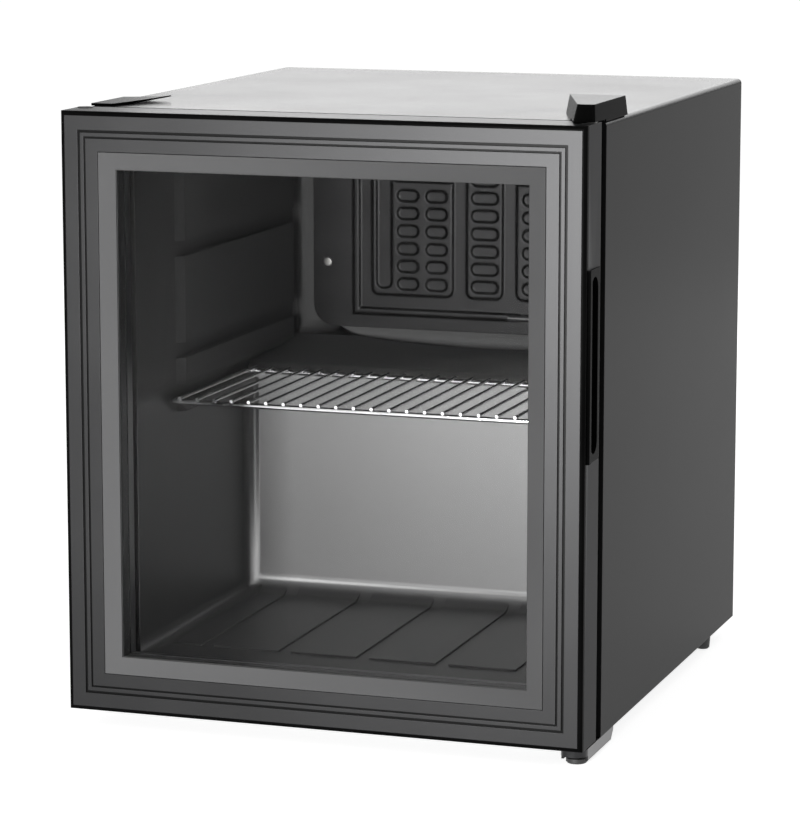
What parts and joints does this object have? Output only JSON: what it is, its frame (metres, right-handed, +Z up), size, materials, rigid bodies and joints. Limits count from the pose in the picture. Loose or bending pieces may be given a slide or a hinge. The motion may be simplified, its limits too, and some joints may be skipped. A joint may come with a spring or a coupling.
{
  "type": "glass door refrigerator",
  "caption": "Counter-top cooler with a framed double-glazed door, side grips, wire shelf, finned back condenser and compressor base.",
  "frame": {"origin": "under the middle of the whole cooler, on the floor", "axes": "+X to the right seen from the front, +Y to the back, +Z up"},
  "size_m": [0.434, 0.5, 0.512],
  "materials": {
    "black_steel": "satin",
    "galvanised": "satin",
    "liner": "gloss",
    "foam": "matte",
    "evaporator": "satin",
    "zinc": "satin",
    "white_plastic": "matte",
    "knob": "matte",
    "copper": "satin",
    "black_plastic": "matte",
    "compressor_paint": "satin",
    "rubber": "matte",
    "condenser_paint": "satin",
    "gloss_black": "gloss",
    "bright_steel": "polished",
    "foot_plastic": "matte",
    "shelf_chrome": "polished",
    "brushed_black": "satin",
    "brushed_bevel": "satin",
    "seal": "matte",
    "glass": "gloss",
    "spacer": "satin",
    "door_plastic": "satin",
    "door_inner": "satin",
    "gasket": "matte",
    "magnet": "matte"
  },
  "bodies": {
    "cabinet": {"outer_casing": "black_steel", "bottom_panel": "galvanised", "back_panel": "galvanised", "inner_liner": "liner", "insulation_foam": "foam", "evaporator_plate": "evaporator", "evaporator_screws": "zinc", "thermostat_housing": "white_plastic", "sensor_tube": "copper", "drain_tube": "black_plastic", "evaporation_tray": "black_plastic", "compressor_rail": "galvanised", "compressor": "compressor_paint", "compressor_grommets": "rubber", "compressor_bolts": "zinc", "starter_relay_cover": "black_plastic", "mains_inlet_clamp": "black_plastic", "filter_drier": "copper", "suction_line": "copper", "discharge_line": "copper", "capillary_tube": "copper", "condenser_tube": "condenser_paint", "condenser_wires": "condenser_paint", "condenser_brackets": "black_plastic", "condenser_screws": "zinc", "top_hinge_bracket": "zinc", "top_hinge_pin": "zinc", "top_hinge_screws": "zinc", "top_hinge_cover": "gloss_black", "hinge_blank_cover": "gloss_black", "bottom_hinge_bracket": "bright_steel", "bottom_hinge_pin": "bright_steel", "bottom_hinge_screws": "zinc", "left_foot_plate": "galvanised", "rear_feet": "foot_plastic"},
    "door": {"door_edge_trim": "gloss_black", "door_face_frame": "brushed_black", "door_bevel_trim": "brushed_bevel", "glazing_seal": "seal", "outer_glass": "glass", "glass_spacer": "spacer", "inner_glass": "glass", "door_core_frame": "door_plastic", "door_rear_frame": "door_inner", "door_screws": "zinc", "door_gasket": "gasket", "gasket_magnets": "magnet", "grip_left": "gloss_black", "grip_right": "gloss_black", "door_bush_top": "white_plastic", "door_bush_bottom": "white_plastic", "hole_plugs": "black_plastic"},
    "shelf": {"wire_shelf": "shelf_chrome"},
    "knob": {"thermostat_knob": "knob"},
    "right_foot": {"front_foot_right": "foot_plastic"},
    "left_foot": {"front_foot_left": "foot_plastic"}
  },
  "joints": [
    {"name": "door_hinge", "type": "hinge", "parent": "cabinet", "child": "door", "pos_m": [0.2076, -0.217, 0.256], "axis": [0, 0, 1], "range_deg": [0, 110]},
    {"name": "shelf_slide", "type": "slide", "parent": "cabinet", "child": "shelf", "axis": [0, -1, 0], "range_m": [0, 0.065]},
    {"name": "thermostat_turn", "type": "hinge", "parent": "cabinet", "child": "knob", "pos_m": [0.145, -0.042, 0.415], "axis": [-1, 0, 0], "range_deg": [0, 270]},
    {"name": "right_foot_turn", "type": "hinge", "parent": "cabinet", "child": "right_foot", "pos_m": [0.20425, -0.225, 0], "axis": [0, 0, 1], "continuous": true},
    {"name": "left_foot_turn", "type": "hinge", "parent": "cabinet", "child": "left_foot", "pos_m": [-0.19, -0.155, 0], "axis": [0, 0, 1], "continuous": true}
  ]
}
